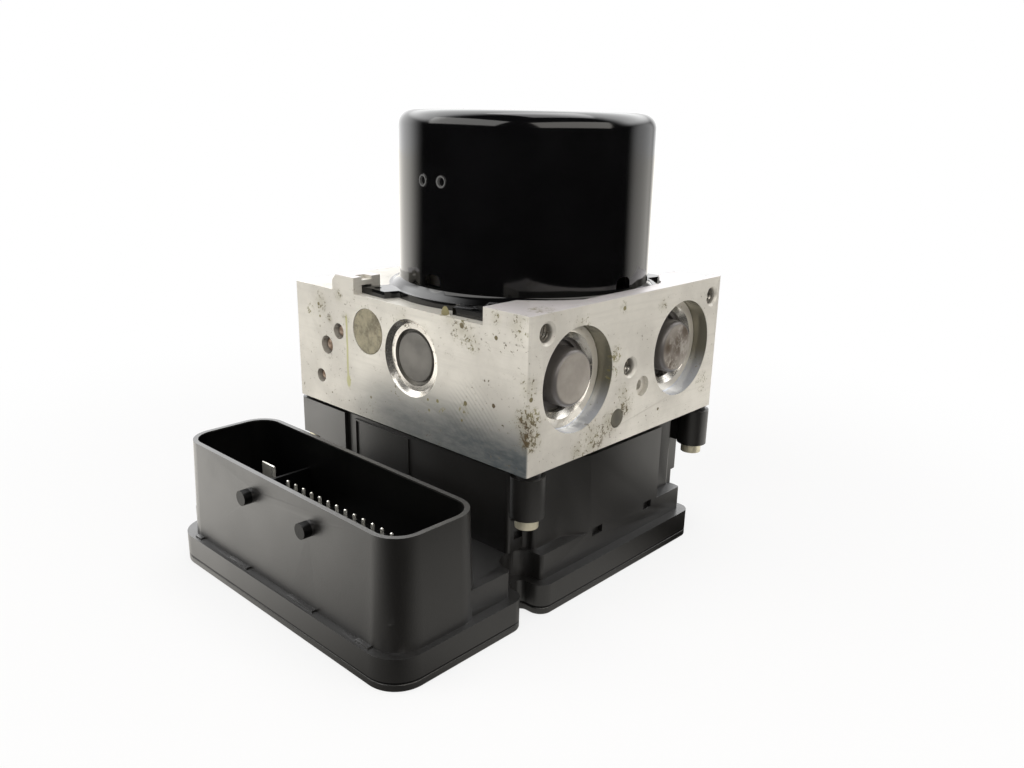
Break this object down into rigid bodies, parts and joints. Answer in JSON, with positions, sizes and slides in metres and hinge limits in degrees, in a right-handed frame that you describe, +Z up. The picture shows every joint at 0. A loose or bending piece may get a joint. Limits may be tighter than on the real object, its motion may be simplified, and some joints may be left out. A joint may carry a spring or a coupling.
{
  "type": "anti-lock brake control module",
  "caption": "Anti-lock brake control module: drilled aluminium valve block with a cylindrical pump motor on top and a moulded control unit with a deep oval connector shroud below.",
  "frame": {"origin": "under the middle of the valve block, on the underside of the control unit's cover", "axes": "+X to the accumulator face, +Y away from the connector shroud, +Z up along the motor"},
  "size_m": [0.106, 0.1371, 0.1311],
  "materials": {
    "aluminium": "milled, faintly lined, with brown corrosion specks",
    "black_can": "glossy black",
    "housing_plastic": "fine matte charcoal",
    "dark_rubber": "matte black",
    "board_green": "solder resist",
    "tinned": "bright tin",
    "zinc_steel": "zinc plated, slightly yellowed",
    "cap_steel": "dull pressed steel",
    "dark_plug": "dark phosphated steel",
    "plug_alloy": "flush, dull",
    "ball_steel": "hardened, slightly stained",
    "bright_steel": "ground",
    "spring_steel": "drawn wire",
    "piston_alloy": "anodised",
    "magnet_grey": "sintered ferrite",
    "core_steel": "stacked sheet steel",
    "copper": "bare and enamelled copper",
    "carbon": "pressed carbon",
    "cream_plastic": "moulded",
    "coil_black": "moulded over copper"
  },
  "bodies": {
    "module": {"valve_block": "aluminium", "motor_can": "black_can", "ecu_housing": "housing_plastic", "ecu_cover": "housing_plastic", "ecu_gasket": "dark_rubber", "motor_seal_ring": "dark_rubber", "circuit_board": "board_green", "signal_pins": "tinned", "power_blades": "tinned", "motor_pins": "tinned", "ecu_screws": "zinc_steel", "screw_sleeves": "zinc_steel", "accumulator_caps": "cap_steel", "retaining_rings": "cap_steel", "pump_plugs": "dark_plug", "drill_plugs": "plug_alloy", "sealing_balls": "ball_steel", "upper_bearing": "bright_steel", "lower_bearing": "bright_steel", "end_bearing": "bright_steel", "pump_sleeves": "bright_steel", "inlet_valves": "bright_steel", "outlet_valves": "bright_steel", "valve_domes": "bright_steel", "pump_spring_front": "spring_steel", "pump_spring_rear": "spring_steel", "ball_spring_front": "spring_steel", "ball_spring_rear": "spring_steel", "accumulator_spring_front": "spring_steel", "accumulator_spring_rear": "spring_steel", "brush_spring_front": "spring_steel", "brush_spring_rear": "spring_steel", "motor_magnets": "magnet_grey", "brush_holder": "cream_plastic", "motor_plug": "cream_plastic", "valve_coils": "coil_black"},
    "rotor": {"motor_shaft": "bright_steel", "armature_core": "core_steel", "armature_windings": "copper", "commutator": "copper"},
    "eccentric_bearing": {"eccentric_ring": "bright_steel", "needle_rollers": "ball_steel"},
    "pump_piston_front": {"pump_piston_front": "bright_steel"},
    "pump_piston_rear": {"pump_piston_rear": "bright_steel"},
    "outlet_ball_front": {"outlet_ball_front": "ball_steel"},
    "outlet_ball_rear": {"outlet_ball_rear": "ball_steel"},
    "accumulator_piston_front": {"accumulator_piston_front": "piston_alloy"},
    "accumulator_piston_rear": {"accumulator_piston_rear": "piston_alloy"},
    "brush_front": {"brush_front": "carbon"},
    "brush_rear": {"brush_rear": "carbon"},
    "inlet_plunger_1": {"inlet_plunger_1": "bright_steel"},
    "inlet_plunger_2": {"inlet_plunger_2": "bright_steel"},
    "inlet_plunger_3": {"inlet_plunger_3": "bright_steel"},
    "inlet_plunger_4": {"inlet_plunger_4": "bright_steel"},
    "outlet_plunger_1": {"outlet_plunger_1": "bright_steel"},
    "outlet_plunger_2": {"outlet_plunger_2": "bright_steel"},
    "outlet_plunger_3": {"outlet_plunger_3": "bright_steel"},
    "outlet_plunger_4": {"outlet_plunger_4": "bright_steel"}
  },
  "joints": [
    {"name": "rotor_spin", "type": "hinge", "parent": "module", "child": "rotor", "pos_m": [0.0053, 0.0019, 0.09], "axis": [0, 0, 1], "continuous": true},
    {"name": "eccentric_spin", "type": "hinge", "parent": "rotor", "child": "eccentric_bearing", "pos_m": [0.00605, 0.0019, 0.0639], "axis": [0, 0, 1], "continuous": true},
    {"name": "pump_front_stroke", "type": "slide", "parent": "module", "child": "pump_piston_front", "axis": [0, -1, 0], "range_m": [0, 0.0015], "stiffness_N_per_m": 3000, "springref_m": -0.001, "deforming": ["pump_spring_front"]},
    {"name": "outlet_front_lift", "type": "slide", "parent": "module", "child": "outlet_ball_front", "axis": [0, -1, 0], "range_m": [0, 0.0005], "stiffness_N_per_m": 400, "springref_m": -0.0005, "deforming": ["ball_spring_front"]},
    {"name": "accumulator_front_fill", "type": "slide", "parent": "module", "child": "accumulator_piston_front", "axis": [1, 0, 0], "range_m": [0, 0.008], "stiffness_N_per_m": 1200, "springref_m": -0.006, "deforming": ["accumulator_spring_front"]},
    {"name": "brush_front_feed", "type": "slide", "parent": "module", "child": "brush_front", "axis": [0, -1, 0], "range_m": [0, 0.002], "stiffness_N_per_m": 200, "springref_m": -0.006, "deforming": ["brush_spring_front"]},
    {"name": "pump_rear_stroke", "type": "slide", "parent": "module", "child": "pump_piston_rear", "axis": [0, 1, 0], "range_m": [0, 0.0015], "stiffness_N_per_m": 3000, "springref_m": -0.001, "deforming": ["pump_spring_rear"]},
    {"name": "outlet_rear_lift", "type": "slide", "parent": "module", "child": "outlet_ball_rear", "axis": [0, 1, 0], "range_m": [0, 0.0005], "stiffness_N_per_m": 400, "springref_m": -0.0005, "deforming": ["ball_spring_rear"]},
    {"name": "accumulator_rear_fill", "type": "slide", "parent": "module", "child": "accumulator_piston_rear", "axis": [1, 0, 0], "range_m": [0, 0.008], "stiffness_N_per_m": 1200, "springref_m": -0.006, "deforming": ["accumulator_spring_rear"]},
    {"name": "brush_rear_feed", "type": "slide", "parent": "module", "child": "brush_rear", "axis": [0, 1, 0], "range_m": [0, 0.002], "stiffness_N_per_m": 200, "springref_m": -0.006, "deforming": ["brush_spring_rear"]},
    {"name": "inlet_valve_1_lift", "type": "slide", "parent": "module", "child": "inlet_plunger_1", "axis": [0, 0, 1], "range_m": [0, 0.0003], "stiffness_N_per_m": 2500, "springref_m": -0.0006},
    {"name": "inlet_valve_2_lift", "type": "slide", "parent": "module", "child": "inlet_plunger_2", "axis": [0, 0, 1], "range_m": [0, 0.0003], "stiffness_N_per_m": 2500, "springref_m": -0.0006},
    {"name": "inlet_valve_3_lift", "type": "slide", "parent": "module", "child": "inlet_plunger_3", "axis": [0, 0, 1], "range_m": [0, 0.0003], "stiffness_N_per_m": 2500, "springref_m": -0.0006},
    {"name": "inlet_valve_4_lift", "type": "slide", "parent": "module", "child": "inlet_plunger_4", "axis": [0, 0, 1], "range_m": [0, 0.0003], "stiffness_N_per_m": 2500, "springref_m": -0.0006},
    {"name": "outlet_valve_1_lift", "type": "slide", "parent": "module", "child": "outlet_plunger_1", "axis": [0, 0, 1], "range_m": [0, 0.0003], "stiffness_N_per_m": 2500, "springref_m": -0.0006},
    {"name": "outlet_valve_2_lift", "type": "slide", "parent": "module", "child": "outlet_plunger_2", "axis": [0, 0, 1], "range_m": [0, 0.0003], "stiffness_N_per_m": 2500, "springref_m": -0.0006},
    {"name": "outlet_valve_3_lift", "type": "slide", "parent": "module", "child": "outlet_plunger_3", "axis": [0, 0, 1], "range_m": [0, 0.0003], "stiffness_N_per_m": 2500, "springref_m": -0.0006},
    {"name": "outlet_valve_4_lift", "type": "slide", "parent": "module", "child": "outlet_plunger_4", "axis": [0, 0, 1], "range_m": [0, 0.0003], "stiffness_N_per_m": 2500, "springref_m": -0.0006}
  ],
  "couplings": [
    {"joint": "eccentric_spin", "follows": "rotor_spin", "ratio": -1}
  ]
}
